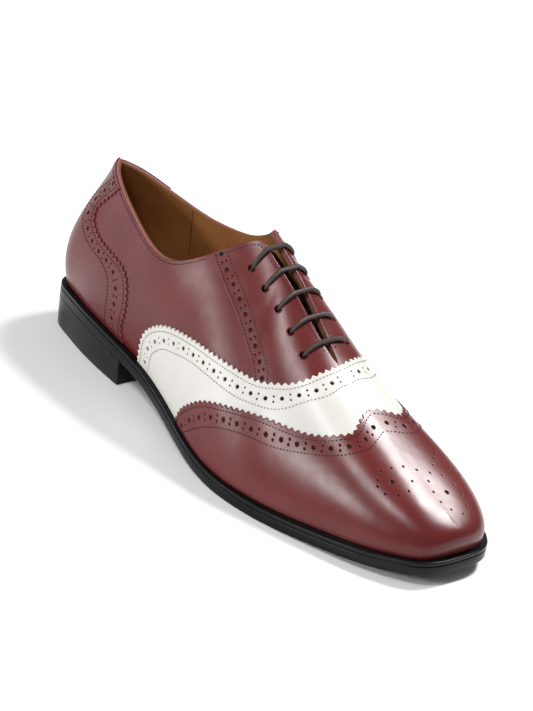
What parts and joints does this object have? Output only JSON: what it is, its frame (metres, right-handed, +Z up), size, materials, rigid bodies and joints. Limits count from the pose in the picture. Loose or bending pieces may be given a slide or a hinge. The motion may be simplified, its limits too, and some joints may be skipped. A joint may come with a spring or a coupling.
{
  "type": "dress shoe",
  "caption": "Right full-brogue wingtip Oxford in two colours, standing on its heel and sole, laced closed, empty inside.",
  "frame": {"origin": "on the floor under the middle of the shoe's length and width", "axes": "+X towards the toe, +Y towards the inner (medial) side of this right shoe, +Z up"},
  "size_m": [0.3058, 0.1008, 0.113],
  "materials": {
    "black_sole": "black edge-dressed leather, satin",
    "burgundy_leather": "smooth calf, polished",
    "white_leather": "smooth calf, soft sheen",
    "tan_lining": "lining leather, matt",
    "brown_lace": "waxed round cotton",
    "tongue_leather": "smooth leather, dull"
  },
  "bodies": {
    "root": {"outsole": "black_sole", "welt": "black_sole", "heel": "black_sole", "insole": "tan_lining", "upper": "burgundy_leather", "vamp_panel": "white_leather", "wing_cap": "burgundy_leather", "counter": "burgundy_leather", "facing_lateral": "burgundy_leather", "facing_medial": "burgundy_leather", "tongue": "tongue_leather", "lace": "brown_lace"}
  },
  "joints": []
}
